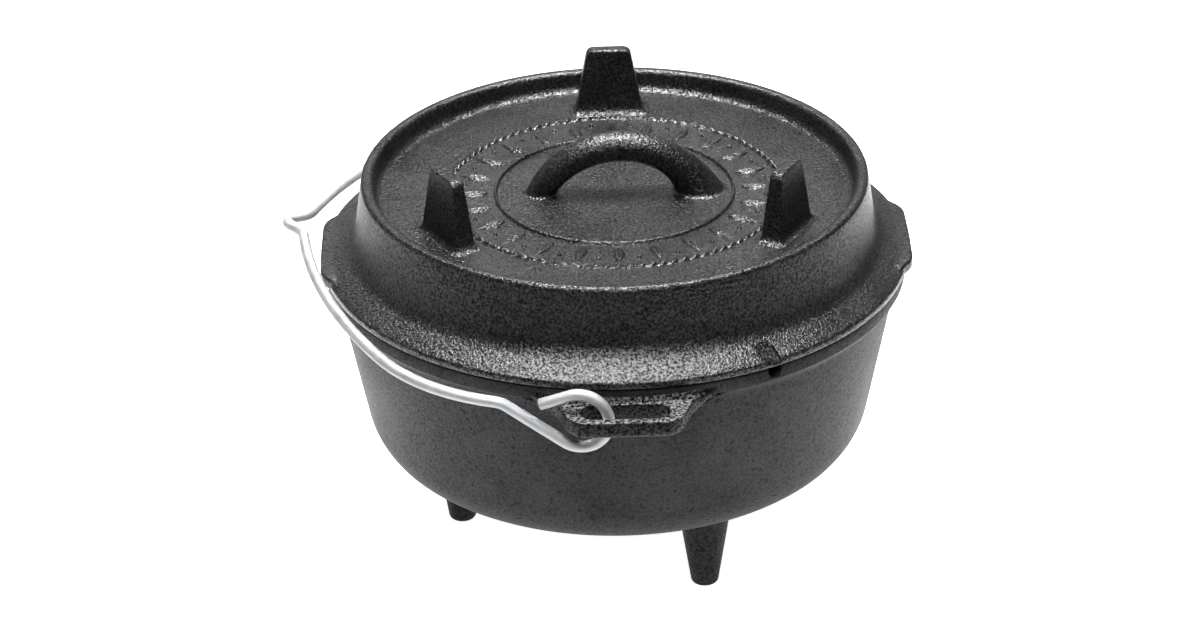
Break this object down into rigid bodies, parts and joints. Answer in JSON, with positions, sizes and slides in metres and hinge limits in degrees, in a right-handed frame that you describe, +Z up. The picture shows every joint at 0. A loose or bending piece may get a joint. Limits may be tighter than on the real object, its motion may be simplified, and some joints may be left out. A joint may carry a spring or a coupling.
{
  "type": "camp dutch oven",
  "caption": "Camp dutch oven: cast pot on stub legs with a slotted ear each side, flanged lid with legs, tabs and a loop handle, and a swinging wire bail.",
  "frame": {"origin": "on the ground under the middle of the pot, in the plane of the three feet", "axes": "+Z up along the pot's axis, +Y from the front ear to the rear ear, +X to the right with the bail resting on the -X side"},
  "size_m": [0.2364, 0.2512, 0.1652],
  "materials": {
    "pot_iron": "sand-cast iron with a baked black oil seasoning, satin",
    "lid_iron": "sand-cast iron with a baked black oil seasoning, satin",
    "galvanised_wire": "bright zinc-plated steel wire"
  },
  "bodies": {
    "pot": {"pot_bowl": "pot_iron", "pot_leg_left": "pot_iron", "pot_leg_front": "pot_iron", "pot_leg_back": "pot_iron", "ear_front": "pot_iron", "ear_rear": "pot_iron"},
    "lid": {"lid_pan": "lid_iron", "lid_handle": "lid_iron", "lid_leg_back": "lid_iron", "lid_leg_left": "lid_iron", "lid_leg_right": "lid_iron", "lid_tab_left": "lid_iron", "lid_tab_right": "lid_iron"},
    "bail": {"bail": "galvanised_wire"}
  },
  "joints": [
    {"name": "bail_swing", "type": "hinge", "parent": "pot", "child": "bail", "pos_m": [0, 0, 0.1058], "axis": [0.1383, 0.9904, 0], "range_deg": [0, 155]},
    {"name": "lid_lift", "type": "slide", "parent": "pot", "child": "lid", "axis": [0, 0, 1], "range_m": [0, 0.15]}
  ]
}
